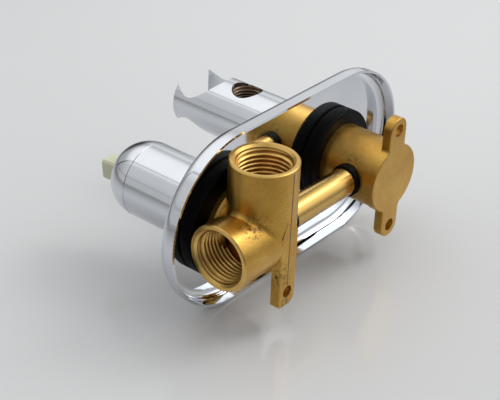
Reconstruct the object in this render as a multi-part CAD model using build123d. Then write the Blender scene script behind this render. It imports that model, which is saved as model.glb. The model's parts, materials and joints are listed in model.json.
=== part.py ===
from build123d import *
from math import cos, hypot, radians, sin
import os

# Concealed bidet shower mixer, in millimetres.
# The wall is the plane y = 0 and every depth is a distance in front of it, towards -y.
# The outlet column stands on x = 0, the mixer column on x = axis_spacing, and z is up.

# Layout and clearances
axis_spacing = 67.0
running_fit = 0.05
slide_gap = 0.3
seat_gap = 0.02

# Mixer casting
port_thread_radius = 10.48
port_wall = 2.52
port_thread_length = 15.0
port_relief_radius = 8.4
port_relief_length = 2.5
port_chamfer = 0.9
port_rim_chamfer = 0.4
top_port_floor = 13.5
side_port_floor = 6.5
core_radius = 11.0
collar_step = 1.5
collar_length = 2.1
chamber_step_rise = 3.0
waterway_radius = 3.2
mixer_ear_shift = 1.0
mixer_ear_hole_offset = 20.4
mixer_ear_hole_radius = 2.4
mixer_ear_half_width = 4.5
mixer_ear_thickness = 4.2
mixer_ear_end = 6.2
mixer_ear_near_round = 1.2
mixer_ear_far_round = 4.0
mixer_ear_edge = 0.5
mixer_ear_run_out = 4.0

# Outlet casting
column_radius = 13.9
flange_step = 0.4
ear_hole_offset = 21.35
ear_half_width = 5.2
ear_thickness = 3.8
ear_hole_radius = 2.6
ear_fillet = 2.0
ear_edge = 0.5
spigot_radius = 10.4
spigot_length = 13.0
spigot_bore_radius = 5.0
outlet_floor = 6.5

# Crossover pipe and its seals
pipe_radius = 5.7
pipe_wall = 0.9
pipe_socket_length = 5.0
pipe_seal_width = 3.6
pipe_seal_wall = 0.8
pipe_seal_seat = 1.6
pipe_seal_fillet = 0.5

# Cover plate
plate_centre_x = 32.0
plate_arc_spacing = 66.0
plate_half_width = 36.0
plate_rim_depth = 25.5
plate_rim_height = 7.7
plate_sheet = 1.0
plate_edge_radius = 4.5
plate_hole_gap = 0.25

# Wall seals
mixer_seal_radius = 23.4
outlet_seal_radius = 19.3
seal_gap = 0.2
seal_fillet = 1.2

# Cartridge cover
cover_wall = 0.95
cover_gap = 0.25
cover_dome_gap = 0.0
cover_mouth_radius = 8.5
cover_line_width = 0.5
cover_line_cut = 0.25
cover_ring_setback = 5.5
cover_ring_section = 1.0

# Cartridge
seat_depth = 43.4
seat_bore_radius = 11.5
neck_wall = 1.5
cartridge_gap = 0.2
shell_wall = 1.3
shell_lip_thickness = 1.5
shell_flange_thickness = 2.0
base_thickness = 3.5
base_spigot_height = 1.5
port_pitch_radius = 5.4
cartridge_port_radius = 2.1
ring_wall = 1.5
ring_thickness = 1.2
peg_pitch_radius = 7.5
peg_radius = 1.0
peg_length = 1.5
disc_thickness = 3.0
key_radius = 1.0
slide_travel = 1.9
carrier_rim = 0.2
mixing_pocket_radius = 4.6
mixing_pocket_depth = 1.6
carrier_thickness = 6.8
carrier_mouth = 1.2
rail_offset = 5.5
rail_width = 1.6
rail_height = 1.5
rail_length = 7.0
guide_thickness = 3.0
guide_neck_length = 9.0
guide_neck_wall = 0.76
glide_ring_thickness = 0.6
nut_wall = 1.0
nut_gap = 0.2
nut_length = 13.0
nut_lip_thickness = 1.8
nut_mouth_radius = 9.2
nut_notch_width = 3.0
nut_notch_depth = 1.5
nut_chamfer = 0.5

# Lever, leaning in its pin from the cartridge's axis
lever_lean = 6.0
pivot_rise = 2.9
pin_radius = 1.2
stem_width = 8.2
stem_length = 23.5
stem_chamfer = 0.8
stem_side_gap = 0.2
tilt_room = 1.65
ball_sink = 2.8
ball_radius = 2.33
arm_radius = 1.7

# Shower holder
holder_radius = 13.0
holder_end_depth = 106.0
holder_back_chamfer = 0.6
fork_wall = 1.0
fork_setback = 7.0
hose_port_setback = 30.0
hose_port_radius = 6.58
hose_port_floor = 1.0
holder_bore_radius = 5.0
holder_bore_margin = 5.0
holder_gasket_thickness = 1.5

# Radii that follow from the sizes above
port_outer_radius = port_thread_radius + port_wall
port_axis_depth = port_outer_radius
neck_radius = seat_bore_radius + neck_wall
nut_bore_radius = neck_radius + running_fit
nut_radius = nut_bore_radius + nut_wall
cover_bore_radius = nut_radius + nut_gap
cover_radius = cover_bore_radius + cover_wall
chamber_radius = cover_bore_radius - cover_gap
collar_radius = chamber_radius + collar_step
shell_radius = seat_bore_radius - cartridge_gap
shell_bore_radius = shell_radius - shell_wall
shell_flange_radius = neck_radius - slide_gap
disc_radius = shell_bore_radius - slide_gap
carrier_radius = disc_radius - slide_travel
ring_radius = cartridge_port_radius + ring_wall
slot_half_width = stem_width / 2 + stem_side_gap
slot_half_length = stem_width / 2 + tilt_room
guide_neck_radius = hypot(slot_half_width, slot_half_length) + guide_neck_wall
shell_mouth_radius = guide_neck_radius + running_fit
flange_radius = column_radius + flange_step
pipe_seal_radius = pipe_radius + pipe_seal_wall
fork_radius = holder_radius - fork_wall

# Depths that follow from the sizes above
plate_front_depth = plate_rim_depth + plate_rim_height
plate_inner_depth = plate_front_depth - plate_sheet
seal_back_depth = port_axis_depth + port_outer_radius + seal_gap
collar_back_depth = seal_back_depth - collar_length
chamber_step_depth = seat_depth + chamber_step_rise
cover_ring_depth = plate_front_depth + cover_ring_setback
spigot_end_depth = plate_inner_depth + spigot_length
holder_floor_depth = spigot_end_depth + holder_gasket_thickness
hose_port_depth = holder_end_depth - hose_port_setback
base_top_depth = seat_depth + base_thickness + base_spigot_height
fixed_disc_front = base_top_depth + disc_thickness
moving_disc_back = fixed_disc_front + seat_gap
moving_disc_front = moving_disc_back + disc_thickness
carrier_front = moving_disc_front + carrier_thickness
guide_back = carrier_front + slide_gap
guide_front = guide_back + guide_thickness
neck_front = guide_front + guide_neck_length
lip_back = guide_front + glide_ring_thickness + 2 * running_fit
lip_front = lip_back + shell_lip_thickness
chamber_mouth_depth = lip_front - shell_flange_thickness
nut_front = lip_front + nut_lip_thickness
nut_back = nut_front - nut_length
cover_dome_depth = nut_front + cover_dome_gap
pivot_depth = guide_front + pivot_rise
ball_depth = carrier_front - ball_sink

# Places across the wall that follow from the sizes above
top_port_height = top_port_floor + port_relief_length + port_thread_length
side_port_reach = side_port_floor + port_relief_length + port_thread_length
mixer_ear_x = axis_spacing - mixer_ear_shift
mixer_seat_x = axis_spacing - port_outer_radius + pipe_seal_seat
mixer_socket_x = mixer_seat_x + pipe_socket_length
outlet_seat_x = column_radius - pipe_seal_seat
outlet_socket_x = outlet_seat_x - pipe_socket_length
slider_offset = (pivot_depth - ball_depth) * sin(radians(lever_lean))
top_port_angle = 90.0
side_port_angle = -30.0
outlet_port_angle = 210.0
port_angles = (top_port_angle, side_port_angle, outlet_port_angle)
peg_angles = (30.0, 150.0)


def along_x(radius, start, end, depth=port_axis_depth, z=0.0):
    """Round bar along x."""
    return Pos((start + end) / 2, -depth, z) * Rot(0, 90, 0) * Cylinder(radius, end - start)


def along_y(radius, back, front, x=0.0, z=0.0):
    """Round bar standing out from the wall between two depths."""
    return Pos(x, -(back + front) / 2, z) * Rot(90, 0, 0) * Cylinder(radius, front - back)


def along_z(radius, bottom, top, x=0.0, depth=port_axis_depth):
    """Round bar along z."""
    return Pos(x, -depth, (bottom + top) / 2) * Cylinder(radius, top - bottom)


def ring_y(outer, inner, back, front, x=0.0, z=0.0):
    """Flat ring about an axis along y."""
    return along_y(outer, back, front, x, z) - along_y(inner, back, front, x, z)


def block(width, back, front, height, x=0.0, z=0.0):
    """Rectangular bar between two depths."""
    return Pos(x, -(back + front) / 2, z) * Box(width, front - back, height)


def facing_front(x, depth):
    """Sketch plane parallel to the wall, with x across, z up and its normal away from the wall."""
    return Plane(origin=(x, -depth, 0), x_dir=(1, 0, 0), z_dir=(0, -1, 0))


def on_pitch(radius, angle):
    """Place on a pitch circle around the mixer axis, as x and z."""
    return axis_spacing + radius * cos(radians(angle)), radius * sin(radians(angle))


def round_edges(solid, axis, index):
    """Circular edges of a solid at one end of an axis."""
    return solid.edges().filter_by(GeomType.CIRCLE).group_by(axis)[index]


# Cover plate: a drawn dish with a rounded front edge and a hole for each column
def dish(inset, back, front):
    outline = facing_front(plate_centre_x, back) * SlotCenterToCenter(
        plate_arc_spacing, 2 * (plate_half_width - inset)
    )
    solid = extrude(outline, front - back)
    return fillet(solid.faces().sort_by(Axis.Y)[0].edges(), plate_edge_radius - inset)


def make_cover_plate():
    plate = dish(0, plate_rim_depth, plate_front_depth)
    plate -= dish(plate_sheet, plate_rim_depth - plate_sheet, plate_inner_depth)
    plate -= along_y(chamber_radius + plate_hole_gap, plate_rim_depth, plate_front_depth + 1, axis_spacing)
    plate -= along_y(spigot_radius + plate_hole_gap, plate_rim_depth, plate_front_depth + 1)
    return plate


# Mixer casting: two female inlets meeting in an elbow, a chamber for the cartridge and one ear
def make_mixer_ear():
    top = mixer_ear_run_out
    end = -mixer_ear_hole_offset - mixer_ear_end
    outline = Pos(0, (top + end) / 2) * Rectangle(2 * mixer_ear_half_width, top - end)
    low = outline.vertices().group_by(Axis.Y)[0].sort_by(Axis.X)
    outline = fillet(low[-1], mixer_ear_near_round)
    low = outline.vertices().group_by(Axis.Y)[0].sort_by(Axis.X)
    outline = fillet(low[0], mixer_ear_far_round)
    ear = extrude(facing_front(mixer_ear_x, 0) * outline, mixer_ear_thickness)
    back_edges = ear.faces().sort_by(Axis.Y)[-1].edges().sort_by(Axis.Z)
    return fillet(back_edges[:-1], mixer_ear_edge)


def mixer_outside():
    top_port = along_z(port_outer_radius, 0, top_port_height, axis_spacing)
    side_port = along_x(port_outer_radius, axis_spacing, axis_spacing + side_port_reach)
    body = chamfer(round_edges(top_port, Axis.Z, -1), port_rim_chamfer)
    body += chamfer(round_edges(side_port, Axis.X, -1), port_rim_chamfer)
    body += Pos(axis_spacing, -port_axis_depth, 0) * Sphere(port_outer_radius)
    body += along_y(core_radius, port_axis_depth, collar_back_depth + 1, axis_spacing)
    body += along_y(collar_radius, collar_back_depth, seal_back_depth, axis_spacing)
    body += along_y(chamber_radius, collar_back_depth, chamber_step_depth, axis_spacing)
    body += along_y(neck_radius, chamber_step_depth, chamber_mouth_depth, axis_spacing)
    return body + make_mixer_ear()


def port_cut(floor, drill_end):
    """Inlet bore along +z from the elbow's centre: mouth chamfer, thread, relief and waterway."""
    thread_end = floor + port_relief_length
    mouth = thread_end + port_thread_length
    cut = Pos(0, 0, (thread_end + mouth) / 2) * Cylinder(port_thread_radius, port_thread_length)
    cut += Pos(0, 0, (floor + thread_end) / 2) * Cylinder(port_relief_radius, port_relief_length)
    cut += Pos(0, 0, (drill_end + floor) / 2) * Cylinder(waterway_radius, floor - drill_end)
    flare = Cone(port_thread_radius, port_thread_radius + port_chamfer, port_chamfer)
    return cut + Pos(0, 0, mouth - port_chamfer / 2) * flare


def make_mixer_body():
    elbow = Pos(axis_spacing, -port_axis_depth, 0)
    body = mixer_outside()
    body -= elbow * port_cut(top_port_floor, port_pitch_radius - cartridge_port_radius / 2)
    side_drill_end = port_pitch_radius * cos(radians(side_port_angle))
    body -= elbow * Rot(0, 90, 0) * port_cut(side_port_floor, side_drill_end)
    body -= along_y(seat_bore_radius, seat_depth, chamber_mouth_depth, axis_spacing)
    for angle in port_angles:
        x, z = on_pitch(port_pitch_radius, angle)
        body -= along_y(cartridge_port_radius, port_axis_depth, seat_depth, x, z)
    for angle in peg_angles:
        x, z = on_pitch(peg_pitch_radius, angle)
        body -= along_y(peg_radius + running_fit, seat_depth - peg_length - seat_gap, seat_depth, x, z)
    body -= along_x(pipe_seal_radius + running_fit, mixer_seat_x - port_outer_radius, mixer_seat_x)
    body -= along_x(pipe_radius + running_fit, mixer_seat_x, mixer_socket_x)
    body -= along_x(waterway_radius, mixer_seat_x, on_pitch(port_pitch_radius, outlet_port_angle)[0])
    groove_back = cover_ring_depth - cover_ring_section
    groove_front = cover_ring_depth + cover_ring_section
    groove_floor = cover_bore_radius - 2 * cover_ring_section
    body -= ring_y(chamber_radius + 1, groove_floor, groove_back, groove_front, axis_spacing)
    body -= along_y(
        mixer_ear_hole_radius, -1, mixer_ear_thickness + 1, mixer_ear_x, -mixer_ear_hole_offset
    )
    return body


# Outlet casting: a column with a two-eared flange, a pipe socket and a threaded spigot
def make_outlet_body():
    outline = Circle(flange_radius)
    outline += Rot(0, 0, 90) * SlotCenterToCenter(2 * ear_hole_offset, 2 * ear_half_width)
    corners = [v for v in outline.vertices() if abs(Vector(v).length - flange_radius) < 0.01]
    flange = extrude(facing_front(0, 0) * fillet(corners, ear_fillet), ear_thickness)
    flange = fillet(flange.faces().sort_by(Axis.Y)[-1].edges(), ear_edge)
    body = flange + along_y(column_radius, ear_edge, plate_inner_depth)
    body += along_y(spigot_radius, plate_inner_depth, spigot_end_depth)
    body -= along_y(spigot_bore_radius, outlet_floor, spigot_end_depth)
    for z in (-ear_hole_offset, ear_hole_offset):
        body -= along_y(ear_hole_radius, -1, ear_thickness + 1, 0, z)
    body -= along_x(pipe_seal_radius + running_fit, outlet_seat_x, column_radius + 1)
    body -= along_x(pipe_radius + running_fit, outlet_socket_x, outlet_seat_x)
    body -= along_x(pipe_radius - pipe_wall, 0, outlet_socket_x)
    return body


# Crossover pipe and the rubber ring at each of its ends
def make_crossover_pipe():
    start = outlet_socket_x + seat_gap
    end = mixer_socket_x - seat_gap
    return along_x(pipe_radius, start, end) - along_x(pipe_radius - pipe_wall, start, end)


def make_pipe_seal(start, end):
    low, high = sorted((start, end))
    ring = along_x(pipe_seal_radius, low, high) - along_x(pipe_radius + seat_gap, low, high)
    open_end = round_edges(ring, Axis.X, -1 if end > start else 0)
    return fillet(open_end.sort_by(SortBy.RADIUS)[-1], pipe_seal_fillet)


# Wall seals: thick rubber rings on the columns, pressed against the inside of the plate
def make_wall_seal(x, radius, bore):
    seal = ring_y(radius, bore, seal_back_depth, plate_inner_depth, x)
    rims = [e for e in seal.edges().filter_by(GeomType.CIRCLE) if e.radius > bore + 0.5]
    return fillet(rims, seal_fillet)


# Cartridge cover: a thin sleeve ending in a dome with a round mouth for the stem
def cover_form(radius):
    form = along_y(radius, plate_front_depth, cover_dome_depth, axis_spacing)
    return form + Pos(axis_spacing, -cover_dome_depth, 0) * Sphere(radius)


def make_cartridge_cover():
    cover = cover_form(cover_radius) - cover_form(cover_bore_radius)
    cover -= along_y(cover_mouth_radius, cover_dome_depth, cover_dome_depth + 2 * cover_radius, axis_spacing)
    line_back = cover_dome_depth - cover_line_width
    cover -= ring_y(cover_radius + 1, cover_radius - cover_line_cut, line_back, cover_dome_depth, axis_spacing)
    return cover


def make_cover_o_ring():
    centre_radius = cover_bore_radius - cover_ring_section
    section = cover_ring_section - seat_gap
    return Pos(axis_spacing, -cover_ring_depth, 0) * Rot(90, 0, 0) * Torus(centre_radius, section)


# Cartridge nut: screws over the chamber's neck and clamps the cartridge's flange
def make_cartridge_nut():
    nut = along_y(nut_radius, nut_back, nut_front, axis_spacing)
    nut = chamfer(round_edges(nut, Axis.Y, 0), nut_chamfer)
    nut -= along_y(nut_bore_radius, nut_back, lip_front, axis_spacing)
    nut -= along_y(nut_mouth_radius, lip_front, nut_front, axis_spacing)
    for width, height in ((3 * nut_radius, nut_notch_width), (nut_notch_width, 3 * nut_radius)):
        nut -= block(width, nut_front - nut_notch_depth, nut_front, height, axis_spacing)
    return nut


# Cartridge shell: a sleeve with a clamping flange, an inner lip and two keys for the fixed disc
def make_cartridge_shell():
    back = seat_depth + base_thickness
    shell = along_y(shell_radius, back, lip_front, axis_spacing)
    shell += along_y(shell_flange_radius, chamber_mouth_depth, lip_front, axis_spacing)
    shell -= along_y(shell_bore_radius, back, lip_back, axis_spacing)
    shell -= along_y(shell_mouth_radius, lip_back, lip_front, axis_spacing)
    for side in (-1, 1):
        key_x = axis_spacing + side * shell_bore_radius
        key = along_y(key_radius, base_top_depth, fixed_disc_front - slide_gap, key_x)
        shell += key & along_y(shell_radius, back, lip_front, axis_spacing)
    return shell


def make_cartridge_base():
    base = along_y(shell_radius, seat_depth, seat_depth + base_thickness, axis_spacing)
    base += along_y(shell_bore_radius - running_fit, seat_depth, base_top_depth, axis_spacing)
    for angle in port_angles:
        x, z = on_pitch(port_pitch_radius, angle)
        base -= along_y(cartridge_port_radius, seat_depth, base_top_depth, x, z)
        base -= along_y(ring_radius + running_fit, seat_depth, seat_depth + ring_thickness, x, z)
        base -= along_y(ring_radius + running_fit, base_top_depth - ring_thickness, base_top_depth, x, z)
    for angle in peg_angles:
        x, z = on_pitch(peg_pitch_radius, angle)
        base += along_y(peg_radius, seat_depth - peg_length, seat_depth, x, z)
    return base


def make_port_rings(back):
    """Three rubber rings, one around each port of the cartridge base."""
    rings = Part()
    for angle in port_angles:
        x, z = on_pitch(port_pitch_radius, angle)
        rings += ring_y(ring_radius, cartridge_port_radius, back, back + ring_thickness, x, z)
    return rings


# Ceramic discs: a fixed disc with three ports and a moving disc with a mixing pocket
def make_fixed_disc():
    disc = along_y(disc_radius, base_top_depth, fixed_disc_front, axis_spacing)
    for angle in port_angles:
        x, z = on_pitch(port_pitch_radius, angle)
        disc -= along_y(cartridge_port_radius, base_top_depth, fixed_disc_front, x, z)
    for side in (-1, 1):
        notch_x = axis_spacing + side * shell_bore_radius
        disc -= along_y(key_radius + running_fit, base_top_depth, fixed_disc_front, notch_x)
    return disc


def make_moving_disc():
    pocket_front = moving_disc_back + mixing_pocket_depth
    disc = along_y(carrier_radius - carrier_rim, moving_disc_back, moving_disc_front, axis_spacing)
    disc -= along_y(mixing_pocket_radius, moving_disc_back, pocket_front, axis_spacing)
    return Pos(0, 0, slider_offset) * disc


# Disc carrier: holds the moving disc and slides on two rails under the stem guide
def make_disc_carrier():
    carrier = along_y(carrier_radius, moving_disc_front, carrier_front, axis_spacing)
    for side in (-1, 1):
        rail_x = axis_spacing + side * rail_offset
        carrier += block(rail_width, carrier_front - 1, carrier_front + rail_height, rail_length, rail_x)
    pocket_radius = ball_radius + running_fit + seat_gap
    carrier -= along_y(pocket_radius, ball_depth - ball_radius - slide_gap, carrier_front, axis_spacing)
    mouth = Pos(axis_spacing, -carrier_front + carrier_mouth / 2, 0) * Rot(90, 0, 0)
    carrier -= mouth * Cone(pocket_radius, pocket_radius + carrier_mouth, carrier_mouth)
    return Pos(0, 0, slider_offset) * carrier


# Stem guide: turns in the shell, carries the lever's pin and drives the carrier's rails
def make_stem_guide():
    guide = along_y(disc_radius, guide_back, guide_front, axis_spacing)
    guide += along_y(guide_neck_radius, guide_front, neck_front, axis_spacing)
    slot_back = pivot_depth - stem_width / 2 - slide_gap
    arm_slot = 2 * (arm_radius + slide_gap)
    guide -= block(2 * slot_half_width, slot_back, neck_front, 2 * slot_half_length, axis_spacing)
    guide -= block(arm_slot, guide_back, slot_back, 2 * (arm_radius + slide_travel), axis_spacing)
    for side in (-1, 1):
        groove_x = axis_spacing + side * rail_offset
        groove_front = guide_back + rail_height
        guide -= block(rail_width + 4 * running_fit, guide_back, groove_front, 3 * disc_radius, groove_x)
    pin_start = axis_spacing - guide_neck_radius
    pin_end = axis_spacing + guide_neck_radius
    return guide - along_x(pin_radius, pin_start, pin_end, pivot_depth)


def make_glide_ring():
    back = guide_front + running_fit
    bore = shell_mouth_radius + running_fit
    return ring_y(disc_radius, bore, back, back + glide_ring_thickness, axis_spacing)


def make_lever_pin():
    reach = (guide_neck_radius**2 - pin_radius**2) ** 0.5
    return along_x(pin_radius, axis_spacing - reach, axis_spacing + reach, pivot_depth)


# Lever: a square stem with a round hub on the pin and a ball on its lower arm
def make_lever_stem():
    half = stem_width / 2
    stem = block(stem_width, pivot_depth, pivot_depth + stem_length, stem_width, axis_spacing)
    stem = chamfer(stem.edges().filter_by(Axis.Y), stem_chamfer)
    stem = chamfer(stem.faces().sort_by(Axis.Y)[0].edges(), stem_chamfer / 2)
    stem += along_x(half, axis_spacing - half, axis_spacing + half, pivot_depth)
    stem += along_y(arm_radius, ball_depth, pivot_depth, axis_spacing)
    stem += Pos(axis_spacing, -ball_depth, 0) * Sphere(ball_radius)
    stem -= along_x(pin_radius + running_fit, axis_spacing - half, axis_spacing + half, pivot_depth)
    return stem.rotate(Axis((axis_spacing, -pivot_depth, 0), (1, 0, 0)), lever_lean)


# Shower holder: a round bar with a fork at its end, a hose outlet and a threaded back bore
def make_shower_holder():
    holder = along_y(holder_radius, plate_front_depth, holder_end_depth)
    holder = chamfer(round_edges(holder, Axis.Y, -1), holder_back_chamfer)
    fork_depth = holder_end_depth - fork_setback
    holder -= along_z(fork_radius, -2 * holder_radius, 2 * holder_radius, 0, fork_depth)
    holder -= along_y(spigot_radius + running_fit, plate_front_depth, holder_floor_depth)
    holder -= along_y(holder_bore_radius, holder_floor_depth, hose_port_depth + holder_bore_margin)
    holder -= along_z(hose_port_radius, hose_port_floor, 2 * holder_radius, 0, hose_port_depth)
    return holder


def make_holder_gasket():
    back = spigot_end_depth + seat_gap
    return ring_y(spigot_radius, spigot_bore_radius, back, holder_floor_depth - seat_gap)


parts = {
    "cover_plate": make_cover_plate(),
    "mixer_body": make_mixer_body(),
    "outlet_body": make_outlet_body(),
    "crossover_pipe": make_crossover_pipe(),
    "pipe_seal_outlet": make_pipe_seal(outlet_seat_x, outlet_seat_x + pipe_seal_width),
    "pipe_seal_mixer": make_pipe_seal(mixer_seat_x, mixer_seat_x - pipe_seal_width),
    "wall_seal_mixer": make_wall_seal(axis_spacing, mixer_seal_radius, chamber_radius),
    "wall_seal_outlet": make_wall_seal(0.0, outlet_seal_radius, column_radius),
    "cartridge_cover": make_cartridge_cover(),
    "cover_o_ring": make_cover_o_ring(),
    "cartridge_nut": make_cartridge_nut(),
    "cartridge_shell": make_cartridge_shell(),
    "cartridge_base": make_cartridge_base(),
    "base_gaskets": make_port_rings(seat_depth),
    "disc_seals": make_port_rings(base_top_depth - ring_thickness),
    "fixed_disc": make_fixed_disc(),
    "moving_disc": make_moving_disc(),
    "disc_carrier": make_disc_carrier(),
    "stem_guide": make_stem_guide(),
    "glide_ring": make_glide_ring(),
    "lever_pin": make_lever_pin(),
    "lever_stem": make_lever_stem(),
    "shower_holder": make_shower_holder(),
    "holder_gasket": make_holder_gasket(),
}

os.makedirs("parts", exist_ok=True)
for name, solid in parts.items():
    solid.label = name
    export_step(solid, f"parts/{name}.step")
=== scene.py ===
import json
from math import cos, hypot, pi, sin, tau

import bmesh
import bpy
from mathutils import Matrix, Vector


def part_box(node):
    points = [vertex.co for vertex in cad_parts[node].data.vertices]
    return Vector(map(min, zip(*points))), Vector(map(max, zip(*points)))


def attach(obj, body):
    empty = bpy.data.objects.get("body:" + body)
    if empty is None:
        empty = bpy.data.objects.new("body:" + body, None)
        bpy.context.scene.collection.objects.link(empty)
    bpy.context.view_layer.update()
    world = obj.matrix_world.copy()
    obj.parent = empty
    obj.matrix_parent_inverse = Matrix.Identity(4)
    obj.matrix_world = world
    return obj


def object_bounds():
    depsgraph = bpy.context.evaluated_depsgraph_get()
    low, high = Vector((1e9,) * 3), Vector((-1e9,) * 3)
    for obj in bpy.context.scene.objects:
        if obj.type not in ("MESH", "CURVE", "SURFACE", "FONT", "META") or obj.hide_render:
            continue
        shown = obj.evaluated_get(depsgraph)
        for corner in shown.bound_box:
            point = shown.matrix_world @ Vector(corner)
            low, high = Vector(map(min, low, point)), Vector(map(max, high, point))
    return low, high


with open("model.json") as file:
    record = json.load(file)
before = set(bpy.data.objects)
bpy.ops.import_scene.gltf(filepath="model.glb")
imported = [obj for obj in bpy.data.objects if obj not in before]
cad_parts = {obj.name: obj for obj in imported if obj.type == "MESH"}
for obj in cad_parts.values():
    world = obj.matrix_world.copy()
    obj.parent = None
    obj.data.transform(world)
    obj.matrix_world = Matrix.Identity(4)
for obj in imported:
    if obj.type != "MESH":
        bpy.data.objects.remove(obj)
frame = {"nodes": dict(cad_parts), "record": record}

cad_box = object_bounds()
nodes = frame["nodes"]

# Places taken from the frame, in metres
mount = {m["name"]: m for m in frame["record"]["mounts"]}
millimetre = 0.001
floor_height = cad_box[0][2]
mixer_x = mount["inlet_top"]["pos_m"][0]
port_axis_y = mount["inlet_top"]["pos_m"][1]
ear_x = mount["mixer_ear"]["pos_m"][0]
ear_hole_z = mount["mixer_ear"]["pos_m"][2]
ear_hole_radius = mount["mixer_ear"]["dims"]["r_mm"] * millimetre
inlet_radius = mount["inlet_top"]["dims"]["r_mm"] * millimetre
inlet_thread_length = mount["inlet_top"]["dims"]["length_mm"] * millimetre
casting_low, casting_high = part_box("mixer_body")

# Camera fitted to the photograph: place, view direction, up direction and lens
camera_place = Vector((0.39625, 0.24173, 0.26454))
camera_forward = Vector((-0.67178, -0.53138, -0.51609))
camera_up = Vector((-0.37416, -0.35790, 0.85552))
focal_pixels = 1348.5
frame_width_pixels = 500
sensor_width = 36.0
clip_start = 0.01


# Node helpers
class Graph:
    """What the materials and the world share: nodes that work on one place or direction."""

    def __init__(self, tree, coordinates):
        self.tree = tree
        self.place = tree.nodes.new("ShaderNodeTexCoord").outputs[coordinates]

    def link(self, source, target):
        self.tree.links.new(source, target)

    def fill(self, socket, value):
        """Feed a socket from another one, or give it a plain value."""
        if isinstance(value, bpy.types.NodeSocket):
            self.link(value, socket)
        else:
            socket.default_value = value

    def span(self, source, low, high, start=0.0, end=1.0, smooth=False):
        """Change of a value from low..high to start..end, clamped; linear unless smooth."""
        node = self.tree.nodes.new("ShaderNodeMapRange")
        if smooth:
            node.interpolation_type = "SMOOTHSTEP"
        limits = {"From Min": low, "From Max": high, "To Min": start, "To Max": end}
        for socket, value in limits.items():
            node.inputs[socket].default_value = value
        self.link(source, node.inputs["Value"])
        return node.outputs["Result"]

    def math(self, operation, *values):
        """One operation on one or two values; each is a socket or a plain number."""
        node = self.tree.nodes.new("ShaderNodeMath")
        node.operation = operation
        for socket, value in zip(node.inputs, values):
            self.fill(socket, value)
        return node.outputs["Value"]

    def measure(self, operation, vector):
        """Distance of the place from a point, or its dot product with a direction."""
        node = self.tree.nodes.new("ShaderNodeVectorMath")
        node.operation = operation
        self.link(self.place, node.inputs[0])
        node.inputs[1].default_value = vector
        return node.outputs["Value"]


class Shader(Graph):
    """A procedural material built node by node around one principled shader."""

    ball_core = 0.3

    def __init__(self, name, metallic=0.0, roughness=0.5):
        self.material = bpy.data.materials.new(name)
        self.material.use_nodes = True
        super().__init__(self.material.node_tree, "Object")
        self.main = self.tree.nodes["Principled BSDF"]
        self.main.inputs["Metallic"].default_value = metallic
        self.main.inputs["Roughness"].default_value = roughness

    def noise(self, scale, detail=4.0, rough=0.55, stretch=None):
        """Noise over the object's own place, scale in cells per metre."""
        node = self.tree.nodes.new("ShaderNodeTexNoise")
        node.inputs["Scale"].default_value = scale
        node.inputs["Detail"].default_value = detail
        node.inputs["Roughness"].default_value = rough
        source = self.place
        if stretch:
            mapping = self.tree.nodes.new("ShaderNodeMapping")
            mapping.inputs["Scale"].default_value = stretch
            self.link(self.place, mapping.inputs["Vector"])
            source = mapping.outputs["Vector"]
        self.link(source, node.inputs["Vector"])
        return node.outputs["Fac"]

    def cells(self, scale):
        """Distance to scattered points, for pits."""
        node = self.tree.nodes.new("ShaderNodeTexVoronoi")
        node.inputs["Scale"].default_value = scale
        self.link(self.place, node.inputs["Vector"])
        return node.outputs["Distance"]

    def ramp(self, source, *stops):
        """Colour ramp through (position, colour) stops."""
        node = self.tree.nodes.new("ShaderNodeValToRGB")
        ramp = node.color_ramp
        while len(ramp.elements) < len(stops):
            ramp.elements.new(1.0)
        for element, (position, colour) in zip(ramp.elements, stops):
            element.position = position
            element.color = (*colour, 1.0)
        self.link(source, node.inputs["Fac"])
        return node.outputs["Color"]

    def mix(self, factor, first, second):
        """Mix of two colours; each is a socket or a plain colour."""
        node = self.tree.nodes.new("ShaderNodeMix")
        node.data_type = "RGBA"
        self.fill(node.inputs[0], factor)
        # The colours of this node are its inputs 6 and 7, and its output 2
        for socket, colour in ((node.inputs[6], first), (node.inputs[7], second)):
            self.fill(socket, (*colour, 1.0) if isinstance(colour, tuple) else colour)
        return node.outputs[2]

    def attribute(self, name):
        node = self.tree.nodes.new("ShaderNodeAttribute")
        node.attribute_name = name
        return node.outputs["Fac"]

    def near(self, point, radius):
        """Soft ball about a place: one in its core, nothing beyond its radius."""
        return self.span(self.measure("DISTANCE", point), radius, self.ball_core * radius)

    def product(self, first, second):
        return self.math("MULTIPLY", first, second)

    def colour(self, source):
        self.link(source, self.main.inputs["Base Color"])

    def rough(self, source):
        self.link(source, self.main.inputs["Roughness"])

    def bump(self, source, strength, distance):
        """Fine relief; a second call adds to the first."""
        node = self.tree.nodes.new("ShaderNodeBump")
        node.inputs["Strength"].default_value = strength
        node.inputs["Distance"].default_value = distance
        self.link(source, node.inputs["Height"])
        target = self.main.inputs["Normal"]
        if target.is_linked:
            self.link(target.links[0].from_socket, node.inputs["Normal"])
        self.link(node.outputs["Normal"], target)


# Finishes
def chrome_finish(name, low, high):
    shader = Shader(name, metallic=1.0, roughness=low)
    shader.colour(shader.ramp(shader.noise(60), (0.3, (0.79, 0.815, 0.855)), (0.7, (0.85, 0.87, 0.90))))
    shader.rough(shader.span(shader.noise(180, 6), 0.3, 0.7, low, high))
    shader.bump(shader.noise(25, 2), 0.06, 0.002)
    return shader.material


# Dirt specks with painted shade in the crevices, by place and radius: elbow, root and tip of the ear,
# outlet's pipe socket
grime_and_shade_spots = [
    ((mixer_x + 0.0115, -0.0055, 0.0115), 0.006),
    ((mixer_x + 0.0160, -0.0060, 0.0105), 0.005),
    ((mixer_x + 0.0030, -0.0010, -0.0120), 0.007),
    ((mixer_x - 0.0010, -0.0005, -0.0250), 0.005),
    ((0.0135, -0.0130, 0.0075), 0.005),
]


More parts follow.
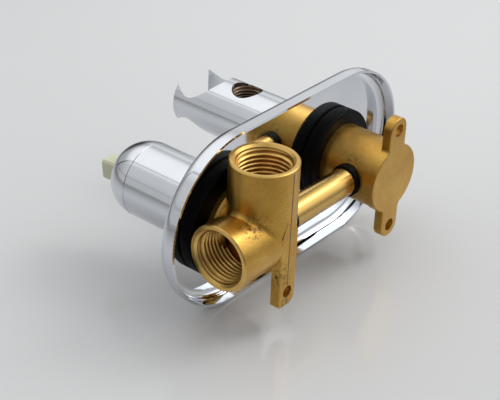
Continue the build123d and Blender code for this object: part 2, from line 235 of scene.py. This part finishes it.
def cast_brass_finish():
    """Satin casting: warm tone, faint mottling, a few pits and stains, fine grain, and dirt specks with
    painted shade in the crevices.
    """
    shader = Shader("cast_brass", metallic=1.0, roughness=0.3)
    shader.main.inputs["Coat Weight"].default_value = 0.25
    shader.main.inputs["Coat Roughness"].default_value = 0.25
    tone = shader.ramp(
        shader.noise(70, 6),
        (0.3, (0.66, 0.36, 0.056)),
        (0.5, (0.77, 0.445, 0.085)),
        (0.72, (0.87, 0.54, 0.13)),
    )
    grain = shader.noise(1500, 5, 0.65)
    tone = shader.mix(shader.span(grain, 0.35, 0.65, 0.0, 0.35), tone, (0.36, 0.20, 0.04))
    pits = shader.span(shader.cells(300), 0.03, 0.085)
    patches = shader.span(shader.noise(45, 3), 0.50, 0.66)
    specks = shader.span(shader.noise(650, 8, 0.75), 0.60, 0.70)
    tone = shader.mix(shader.product(patches, specks), tone, (0.15, 0.075, 0.02))
    dirt_and_shade_mask = shader.span(shader.noise(520, 8, 0.7), 0.50, 0.62)
    # Dirt specks and painted shade darken the crevices around these spots.
    for spot, radius in grime_and_shade_spots:
        tone = shader.mix(shader.product(shader.near(spot, radius), dirt_and_shade_mask), tone, (0.10, 0.055, 0.02))
    tone = shader.mix(pits, (0.16, 0.08, 0.02), tone)
    shader.colour(tone)
    shader.rough(shader.span(shader.noise(400, 6), 0.3, 0.7, 0.32, 0.44))
    shader.bump(grain, 0.12, 0.0001)
    shader.bump(pits, 0.3, 0.0002)
    return shader.material


def drawn_brass_finish():
    shader = Shader("drawn_brass", metallic=1.0, roughness=0.22)
    streaks = shader.noise(700, 4, 0.6, (0.05, 1.0, 1.0))
    shader.colour(shader.ramp(streaks, (0.3, (0.62, 0.39, 0.10)), (0.7, (0.76, 0.50, 0.16))))
    shader.rough(shader.span(streaks, 0.3, 0.7, 0.16, 0.3))
    shader.bump(streaks, 0.15, 0.00005)
    return shader.material


def machined_brass_finish():
    """Freshly cut brass, with painted shade in the grooves of the threads."""
    shader = Shader("machined_brass", metallic=1.0, roughness=0.2)
    tone = shader.ramp(shader.noise(200, 5), (0.3, (0.82, 0.51, 0.14)), (0.7, (0.92, 0.61, 0.20)))
    # Painted shade: darker towards the root of each thread groove.
    groove_shade = shader.span(shader.attribute("groove"), 0.45, 1.0, 0.0, 0.85)
    shader.colour(shader.mix(groove_shade, tone, (0.26, 0.12, 0.025)))
    shader.rough(shader.span(shader.noise(600, 5), 0.3, 0.7, 0.26, 0.38))
    shader.bump(shader.noise(1800, 4, 0.6), 0.1, 0.0001)
    return shader.material


def stain_and_shade_brass_finish(name, dark, light):
    """Dull brown brass: painted shade, warm as from light bounced between brass walls, in the depths of the
    bores; stained brass for the hose thread and the flash.
    """
    shader = Shader(name, metallic=1.0, roughness=0.4)
    shader.colour(shader.ramp(shader.noise(300, 6), (0.3, dark), (0.7, light)))
    shader.rough(shader.span(shader.noise(500, 5), 0.3, 0.7, 0.3, 0.5))
    return shader.material


def rubber_finish():
    shader = Shader("black_rubber", roughness=0.5)
    shader.main.inputs["Specular IOR Level"].default_value = 0.12
    tone = shader.ramp(shader.noise(150), (0.3, (0.0008, 0.0008, 0.001)), (0.7, (0.002, 0.002, 0.0025)))
    shader.colour(tone)
    shader.rough(shader.span(shader.noise(600, 5), 0.3, 0.7, 0.42, 0.62))
    shader.bump(shader.noise(1500), 0.2, 0.0001)
    return shader.material


def moulded_finish(name, dark, light, roughness):
    """Moulded plastic or ceramic."""
    shader = Shader(name, roughness=roughness)
    shader.colour(shader.ramp(shader.noise(120), (0.3, dark), (0.7, light)))
    shader.rough(shader.span(shader.noise(500), 0.3, 0.7, roughness - 0.08, roughness + 0.08))
    shader.bump(shader.noise(1800), 0.12, 0.0001)
    return shader.material


def ground_steel_finish():
    shader = Shader("ground_steel", metallic=1.0, roughness=0.25)
    streaks = shader.noise(900, 3, 0.5, (0.05, 1.0, 1.0))
    shader.colour(shader.ramp(streaks, (0.3, (0.46, 0.46, 0.47)), (0.7, (0.62, 0.62, 0.63))))
    return shader.material


finishes = {
    "chrome": chrome_finish("chrome", 0.05, 0.09),
    "cast_brass": cast_brass_finish(),
    "pipe_brass": drawn_brass_finish(),
    "nut_brass": drawn_brass_finish(),
    "black_rubber": rubber_finish(),
    "cartridge_plastic": moulded_finish("cartridge_plastic", (0.66, 0.67, 0.65), (0.78, 0.79, 0.77), 0.42),
    "disc_ceramic": moulded_finish("disc_ceramic", (0.74, 0.73, 0.70), (0.82, 0.81, 0.78), 0.22),
    "pin_steel": ground_steel_finish(),
    "stem_plastic": moulded_finish("stem_plastic", (0.74, 0.76, 0.52), (0.84, 0.86, 0.61), 0.35),
}
for part in frame["record"]["subparts"]:
    mesh = nodes[part["node"]].data
    mesh.materials.clear()
    mesh.materials.append(finishes[part["material_slot"]])


# Both inlets are faced, chamfered and bored by machine
machined_brass = machined_brass_finish()
stained_brass = stain_and_shade_brass_finish("stained_brass", (0.10, 0.065, 0.045), (0.30, 0.21, 0.15))
# Painted shade for the depths of the bores below the threads, warm as from light bounced between brass
# walls.
deep_brass = stain_and_shade_brass_finish("deep_brass", (0.42, 0.19, 0.04), (0.62, 0.31, 0.07))
casting = nodes["mixer_body"].data
casting.materials.append(machined_brass)
casting.materials.append(deep_brass)
machined_index = 1
bore_shade_index = 2
mouth_band = 0.00095
bore_slack = 0.00005

# Distances along an inlet's axis from the point where the two axes cross
bore_start = 0.0065
thread_end = 0.0092
for face in casting.polygons:
    x, y, z = face.center.x - mixer_x, face.center.y - port_axis_y, face.center.z
    at_mouth = z > casting_high[2] - mouth_band or face.center.x > casting_high[0] - mouth_band
    in_top_bore = z > bore_start and hypot(x, y) < inlet_radius + bore_slack
    in_side_bore = x > bore_start and hypot(y, z) < inlet_radius + bore_slack
    if at_mouth or in_top_bore or in_side_bore:
        # Below the threads the bore's faces get the painted shade; the rest is machined brass.
        below_thread = max(x, z) < thread_end
        face.material_index = bore_shade_index if below_thread else machined_index


# The plate's rim is left duller along its inner back edge, on faces that lean inwards and back
plate = nodes["cover_plate"].data
plate.materials.append(chrome_finish("dull_chrome", 0.34, 0.44))
dull_index = 1
rim_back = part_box("cover_plate")[1][1]
rim_edge_depth = 0.0012
least_lean = 0.1
for face in plate.polygons:
    x, y, z = face.center
    outward = Vector((x - min(max(x, 0.0), mixer_x), 0.0, z)).normalized()
    at_edge = y > rim_back - rim_edge_depth
    if at_edge and face.normal.dot(outward) < -least_lean and face.normal.y > least_lean:
        face.material_index = dull_index


# Helpers for the added pieces, and the depth to which hidden edges are sunk into the casting
crease_angle = 0.9
sunk = 0.0004


def add_piece(name, form, material):
    """Finish a closed mesh as a piece that rides on the fitting."""
    bmesh.ops.recalc_face_normals(form, faces=form.faces)
    mesh = bpy.data.meshes.new(name)
    form.to_mesh(mesh)
    form.free()
    mesh.shade_smooth()
    mesh.set_sharp_from_angle(angle=crease_angle)
    mesh.materials.append(material)
    piece = bpy.data.objects.new(name, mesh)
    bpy.context.scene.collection.objects.link(piece)
    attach(piece, "fitting")


def skin(form, sections, endless=False):
    """Closed skin through closed loops of points; its ends are capped, or meet each other."""
    rows = [[form.verts.new(point) for point in section] for section in sections]
    following = rows[1:] + rows[:1] if endless else rows[1:]
    for low, high in zip(rows, following):
        for i in range(len(low)):
            j = (i + 1) % len(low)
            form.faces.new((low[i], low[j], high[j], high[i]))
    if not endless:
        form.faces.new(rows[0])
        form.faces.new(rows[-1])


# Cast fillet in the elbow between the two inlet bosses, which reach back to the wall plane
boss_radius = -port_axis_y
fillet_radius = 0.0018
fillet_arc_steps = 8
elbow_margin = 0.03
elbow_steps = 64


def elbow_section(turn):
    """Fillet section in the plane across the bosses at one angle around them."""
    reach = boss_radius * sin(turn)
    y = port_axis_y + boss_radius * cos(turn)
    corner = mixer_x + reach
    section = []
    for k in range(fillet_arc_steps + 1):
        angle = 0.5 * pi * k / fillet_arc_steps
        x = corner + fillet_radius * (1 - cos(angle))
        section.append(Vector((x, y, reach + fillet_radius * (1 - sin(angle)))))
    return section + [Vector((corner - sunk, y, reach - sunk))]


def elbow_turn(step):
    """Angle of one section; the fillet stops a little short of both ends of the half turn."""
    return pi * (elbow_margin + (1 - 2 * elbow_margin) * step / elbow_steps)


elbow = bmesh.new()
skin(elbow, [elbow_section(elbow_turn(k)) for k in range(elbow_steps + 1)])
add_piece("elbow_fillet", elbow, finishes["cast_brass"])


# Sloping shoulder of the casting, from the collar behind the wall seal into the elbow
collar_length = 0.0021
collar_radius = mixer_x - casting_low[0]
collar_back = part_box("wall_seal_mixer")[1][1] + collar_length
shoulder_run = 0.0045
shoulder_rise = 0.0034
shoulder_foot_inset = 0.00005
shoulder_lip_inset = 0.0001
shoulder_lip_rise = 0.0002
shoulder_steps = 128


def shoulder_section(turn):
    """Four-cornered section of the shoulder at one angle around the mixer axis."""
    profile = (
        (collar_radius - shoulder_foot_inset, collar_back - sunk),
        (collar_radius - shoulder_lip_inset, collar_back + shoulder_lip_rise),
        (collar_radius - shoulder_run, collar_back + shoulder_rise),
        (collar_radius - shoulder_run, collar_back - sunk),
    )
    return [Vector((mixer_x + r * cos(turn), y, r * sin(turn))) for r, y in profile]


shoulder = bmesh.new()
skin(shoulder, [shoulder_section(tau * k / shoulder_steps) for k in range(shoulder_steps)], endless=True)
add_piece("collar_shoulder", shoulder, finishes["cast_brass"])


# Oval rim left on the shoulder between the two bosses, where the casting's gate was cut off
gate_turn = pi / 4
gate_half_width = 0.0025
gate_half_height = 0.0018
gate_rim = 0.0004
gate_rim_sides = 8
gate_steps = 64
shoulder_slope = hypot(shoulder_run, shoulder_rise)


def gate_section(turn):
    """Round section of the rim at one angle around the oval."""
    section = []
    for k in range(gate_rim_sides):
        side = tau * k / gate_rim_sides
        grow, lift = gate_rim * cos(side), gate_rim * sin(side)
        up_slope = 0.5 + (gate_half_height + grow) * sin(turn) / shoulder_slope
        r = collar_radius - shoulder_run * up_slope
        around = gate_turn + (gate_half_width + grow) * cos(turn) / r
        r += lift * shoulder_rise / shoulder_slope
        y = collar_back + shoulder_rise * up_slope + lift * shoulder_run / shoulder_slope
        section.append(Vector((mixer_x + r * cos(around), y, r * sin(around))))
    return section


gate = bmesh.new()
skin(gate, [gate_section(tau * k / gate_steps) for k in range(gate_steps)], endless=True)
add_piece("gate_mark", gate, machined_brass)


# The ear's flat back runs out up the boss
ear_half_width = 0.0045
ear_top = 0.004
run_out_length = 0.010
run_out_overlap = 0.0002
run_out_thickness = 0.002
run_out_taper = 0.9
run_out_steps = 12


def run_out_section(share):
    """Rectangle across the ear, narrower the higher it lies."""
    half = ear_half_width * (1 - run_out_taper * share)
    z = ear_top - run_out_overlap + run_out_length * share
    corners = ((-1, -run_out_thickness), (-1, 0.0), (1, 0.0), (1, -run_out_thickness))
    return [Vector((ear_x + side * half, y, z)) for side, y in corners]


run_out = bmesh.new()
skin(run_out, [run_out_section(k / run_out_steps) for k in range(run_out_steps + 1)])
add_piece("ear_run_out", run_out, finishes["cast_brass"])


# Flash left by the mould's parting down the back of the mixer casting and its ear
flash_top = 0.0296
flash_shift = 0.0002
flash_half_width = 0.00017
flash_height = 0.00010
flash_root = -0.0003
flash_edge_share = 0.4
flash_step = 0.0005
flash_least_steps = 4
flash_hole_gap = 0.0002
flash_end_gap = 0.0006


def ripple(z, size, waves, shift=0.0):
    """Unevenness along the flash: a wave of one size, with its waves in radians per metre."""
    return size * sin(waves * z + shift)


def parting_section(z):
    """Section of the flash at one height; its place, width and height change a little on the way."""
    x = ear_x + flash_shift + ripple(z, 0.00006, 2300) + ripple(z, 0.00005, 5100, 1.0)
    half = flash_half_width + ripple(z, 0.00005, 3700)
    top = flash_height + ripple(z, 0.00004, 2900, 0.5)
    edge = top * flash_edge_share
    profile = ((-half, flash_root), (-half, edge), (0.0, top), (half, edge), (half, flash_root))
    return [Vector((x + aside, y, z)) for aside, y in profile]


def parting_line(name, high, low):
    """One run of the flash between two heights."""
    form = bmesh.new()
    steps = max(flash_least_steps, int((high - low) / flash_step))
    skin(form, [parting_section(high + (low - high) * k / steps) for k in range(steps + 1)])
    add_piece(name, form, stained_brass)


hole_edge = ear_hole_radius + flash_hole_gap
parting_line("parting_flash", flash_top, ear_hole_z + hole_edge)
parting_line("parting_flash_tip", ear_hole_z - hole_edge, casting_low[2] + flash_end_gap)


# Pipe threads: closed liners in the bores, with the rounded helical ridge on the inside
liner_wall = 0.00001
liner_sides = 96
liner_rows_per_pitch = 10
end_fade = 4


def thread_liner(name, hole, mouth, length, pitch, crest, material):
    """Liner in a threaded hole from its mouth inwards; crest is the ridge's height."""
    axis = Vector(hole["axis"])
    across = axis.orthogonal().normalized()
    beside = axis.cross(across)
    outside = hole["dims"]["r_mm"] * millimetre
    root = outside - liner_wall
    rows = int(liner_rows_per_pitch * length / pitch)
    form = bmesh.new()
    groove = form.verts.layers.float.new("groove")

    def ring(depth, radius_at):
        """One ring of points; the groove value is one at the root and nothing at the crest."""
        spot = mouth - axis * depth
        row = []
        for i in range(liner_sides):
            turn = tau * i / liner_sides
            radius = radius_at(turn)
            vert = form.verts.new(spot + radius * (across * cos(turn) + beside * sin(turn)))
            vert[groove] = 1.0 - max(0.0, root - radius) / crest
            row.append(vert)
        return row

    def ridge(depth):
        """Radius around one ring; the ridge rises over one pitch and ends within a quarter of one."""
        fade = min(1.0, depth / pitch, end_fade * (length - depth) / pitch)
        return lambda turn: root - fade * crest * (0.5 + 0.5 * cos(tau * depth / pitch - turn))

    rings = [ring(length * k / rows, ridge(length * k / rows)) for k in range(rows + 1)]
    back = [ring(length, lambda turn: outside), ring(0.0, lambda turn: outside)]
    loop = rings + back + rings[:1]
    for low, high in zip(loop, loop[1:]):
        for i in range(liner_sides):
            j = (i + 1) % liner_sides
            form.faces.new((low[i], high[i], high[j], low[j]))
    add_piece(name, form, material)


half_inch_pitch = 0.001814
half_inch_ridge = 0.00116
quarter_inch_pitch = 0.001337
quarter_inch_ridge = 0.00086
port_chamfer = 0.0009
top_mouth = Vector((mixer_x, port_axis_y, casting_high[2] - port_chamfer))
side_mouth = Vector((casting_high[0] - port_chamfer, mount["inlet_side"]["pos_m"][1], 0.0))
thread_liner("inlet_top_thread", mount["inlet_top"], top_mouth, inlet_thread_length,
             half_inch_pitch, half_inch_ridge, machined_brass)
thread_liner("inlet_side_thread", mount["inlet_side"], side_mouth, inlet_thread_length,
             half_inch_pitch, half_inch_ridge, machined_brass)

# The hose thread lies between the lowest points of the hole's saddle-shaped mouth and the cross bore
hose_thread_top = 0.0112
hose_thread_length = 0.006
hose_mouth = Vector((0.0, mount["hose_outlet"]["pos_m"][1], hose_thread_top))
thread_liner("hose_outlet_thread", mount["hose_outlet"], hose_mouth, hose_thread_length,
             quarter_inch_pitch, quarter_inch_ridge, stained_brass)


# Light tent: the even level and the tint of its light
tent_level = 0.39
tent_tint = (0.975, 0.985, 1.0, 1.0)

# Regions of the tent: direction, cosine at the edge, cosine at the core, and change of light
tent_regions = [
    ((0.0, 0.0, 1.0), 0.05, 0.95, 0.30),
    ((-0.62, 0.42, 0.66), 0.74, 0.97, 0.9),
    ((-0.10, -0.55, 0.82), 0.78, 0.95, 0.36),
    ((0.67, 0.53, 0.40), 0.50, 0.98, -0.22),
    ((-0.62, -0.78, 0.02), 0.92, 0.99, -0.33),
    ((-0.84, -0.50, 0.22), 0.93, 0.99, 0.32),
    ((0.80, -0.55, 0.05), 0.75, 0.98, 0.10),
]

# Seams of the tent: normal of the plane that each lies in, half width, and change of light
tent_seams = [
    ((0.906, 0.0, -0.424), 0.018, -0.45),
    ((0.306, 0.0, -0.952), 0.025, -0.12),
]

# Floor: its size, its gap below the object, and the centre and reach of the greyer floor that the chrome
# mirrors, a painted reflection that is dark beyond that reach, from the floor's centre
floor_size = 3.0
floor_gap = 0.0002
reflection_centre = (-0.03, -0.05, 0.0)
reflection_reach = 0.40

# Distances along the photo's view between which painted light makes the floor paler, from the floor's
# centre
floor_near = -0.08
floor_far = 0.22

# Lamp
lamp_place = Vector((-0.60, 0.30, 0.80))
lamp_target = Vector((0.032, -0.03, 0.0))
lamp_side = 0.35
lamp_power = 1.5


def make_floor():
    """Pale table with painted light, a little lighter towards the back; the chrome mirrors it greyer, and
    dark further out, as a painted reflection.
    """
    bpy.ops.mesh.primitive_plane_add(size=floor_size, location=(mixer_x, 0.0, floor_height - floor_gap))
    floor = bpy.context.object
    floor.name = "floor"
    shader = Shader("floor", roughness=0.12)
    shader.main.inputs["Specular IOR Level"].default_value = 0.35
    # Painted reflection: reflections and bounce light see the floor greyer, and dark beyond the reach.
    painted_reflection_tone = shader.ramp(shader.noise(2.0), (0.3, (0.60, 0.60, 0.605)), (0.7, (0.63, 0.63, 0.635)))
    painted_reflection_tone = shader.mix(shader.near(reflection_centre, reflection_reach), (0.06, 0.06, 0.065), painted_reflection_tone)
    # Painted light: the floor seen by the camera grows paler towards the back.
    into_view = Vector((camera_forward.x, camera_forward.y, 0.0)).normalized()
    depth = shader.span(shader.measure("DOT_PRODUCT", into_view), floor_near, floor_far)
    pale = shader.ramp(depth, (0.0, (0.745, 0.745, 0.74)), (1.0, (0.815, 0.815, 0.81)))
    seen = shader.tree.nodes.new("ShaderNodeLightPath").outputs["Is Camera Ray"]
    shader.colour(shader.mix(seen, painted_reflection_tone, pale))
    floor.data.materials.append(shader.material)


def make_world():
    """Light tent: an even grey with soft brighter and darker regions, crossed by dark seams."""
    world = bpy.data.worlds.new("tent")
    world.use_nodes = True
    graph = Graph(world.node_tree, "Generated")
    light = tent_level
    for towards, edge, core, change in tent_regions:
        facing = graph.measure("DOT_PRODUCT", Vector(towards).normalized())
        light = graph.math("ADD", graph.span(facing, edge, core, 0.0, change, smooth=True), light)
    for normal, half_width, change in tent_seams:
        away = graph.math("ABSOLUTE", graph.measure("DOT_PRODUCT", normal))
        light = graph.math("ADD", graph.span(away, 0.0, 2 * half_width, change, 0.0), light)
    background = graph.tree.nodes["Background"]
    background.inputs["Color"].default_value = tent_tint
    graph.link(light, background.inputs["Strength"])
    bpy.context.scene.world = world


def make_camera():
    data = bpy.data.cameras.new("camera")
    data.sensor_fit = "HORIZONTAL"
    data.sensor_width = sensor_width
    data.lens = focal_pixels / frame_width_pixels * sensor_width
    data.clip_start = clip_start
    camera = bpy.data.objects.new("camera", data)
    right = camera_forward.cross(camera_up).normalized()
    up = right.cross(camera_forward).normalized()
    turn = Matrix((right, up, -camera_forward.normalized())).transposed()
    camera.matrix_world = Matrix.Translation(camera_place) @ turn.to_4x4()
    bpy.context.scene.collection.objects.link(camera)
    bpy.context.scene.camera = camera


def make_lamp():
    """One soft window, high to one side."""
    lamp = bpy.data.lights.new("window", "AREA")
    lamp.shape = "SQUARE"
    lamp.size = lamp_side
    lamp.energy = lamp_power
    item = bpy.data.objects.new("window", lamp)
    item.location = lamp_place
    item.rotation_euler = (lamp_target - lamp_place).to_track_quat("-Z", "Y").to_euler()
    bpy.context.scene.collection.objects.link(item)


make_floor()
make_world()
make_camera()
make_lamp()

bpy.context.scene.view_settings.view_transform = "Standard"
